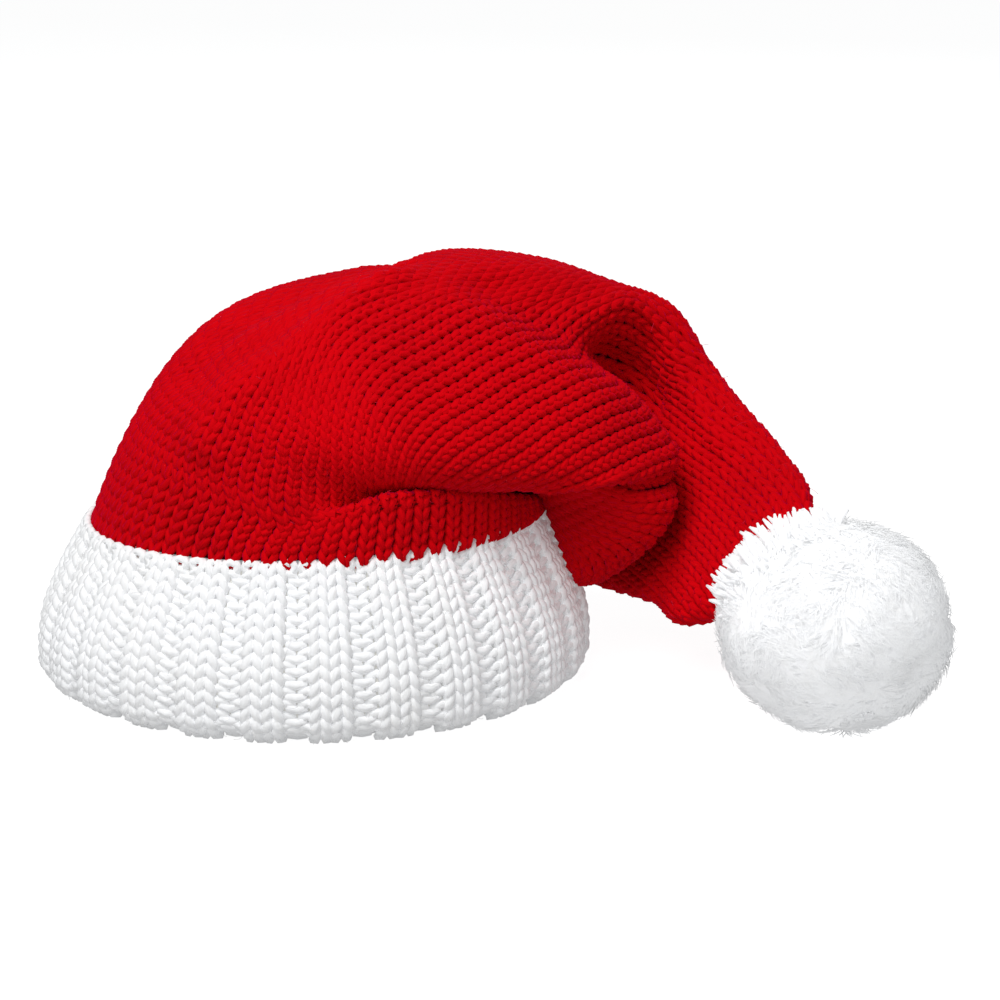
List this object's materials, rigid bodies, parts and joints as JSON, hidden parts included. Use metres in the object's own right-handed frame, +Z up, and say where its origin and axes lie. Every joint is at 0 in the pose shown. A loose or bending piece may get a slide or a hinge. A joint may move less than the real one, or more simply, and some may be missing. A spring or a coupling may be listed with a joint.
{
  "type": "knitted hat",
  "caption": "Slouched knitted winter hat with a wide ribbed cuff, a soft hollow crown that folds over to one side into a flat tail, and a fluffy yarn pompom at its end.",
  "frame": {"origin": "centre of the bounding box at table height", "axes": "+Z up; +X towards the pompom, along the hat's longest extent; -Y towards the viewer, where the nose of the fold hangs"},
  "size_m": [0.3328, 0.2248, 0.1546],
  "materials": {
    "red_knit": "matt red wool-blend yarn in plain knit",
    "white_rib": "matt white yarn in a two by one rib",
    "white_pompom": "cut white yarn, fluffy"
  },
  "bodies": {
    "root": {"crown": "red_knit", "cuff": "white_rib", "pompom": "white_pompom"}
  },
  "joints": []
}
